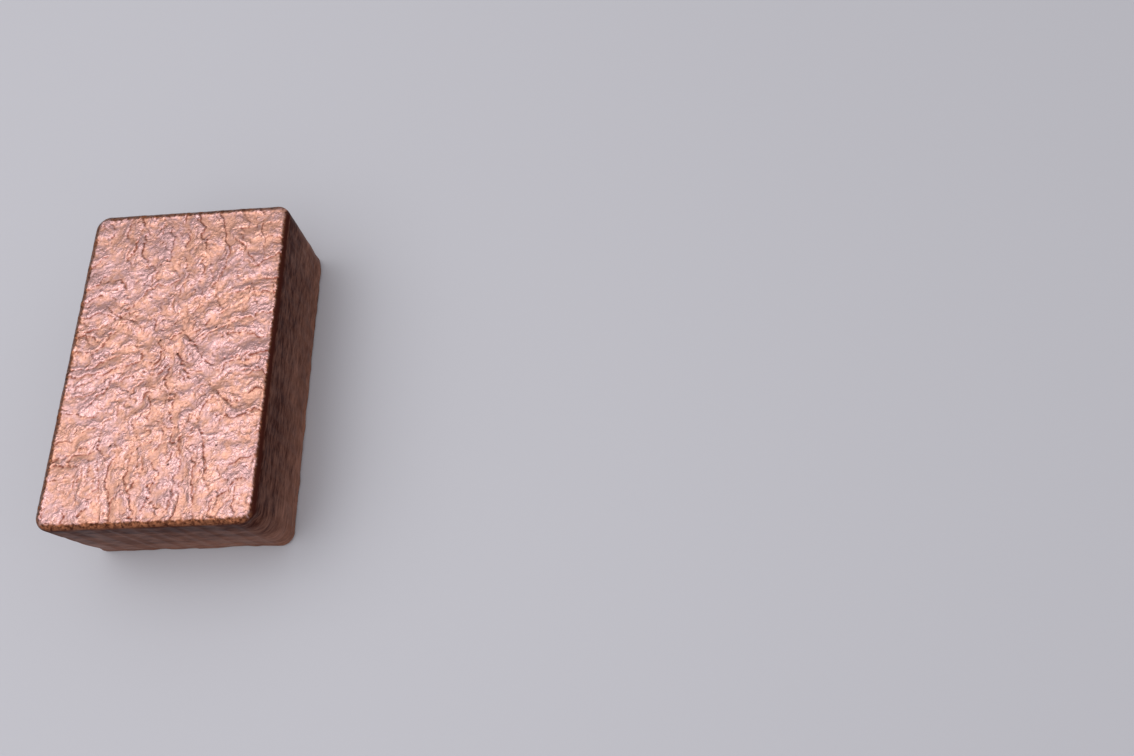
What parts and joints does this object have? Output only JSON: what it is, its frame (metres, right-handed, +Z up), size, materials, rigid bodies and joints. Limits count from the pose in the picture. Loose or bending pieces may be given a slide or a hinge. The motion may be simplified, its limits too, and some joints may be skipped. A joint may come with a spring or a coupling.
{
  "type": "copper ingot",
  "caption": "Rectangular block of cast copper with slightly drafted walls, rounded corners and a wrinkled, open-poured top, which lies flat as raw stock for melting.",
  "frame": {"origin": "middle of the flat foot, on the floor", "axes": "+X across the ingot, +Y along it, from the end near the camera to the far end, +Z up from the foot to the cast skin"},
  "size_m": [0.07, 0.112, 0.0369],
  "materials": {
    "cast_copper": "satin"
  },
  "bodies": {
    "root": {"ingot": "cast_copper"}
  },
  "joints": []
}
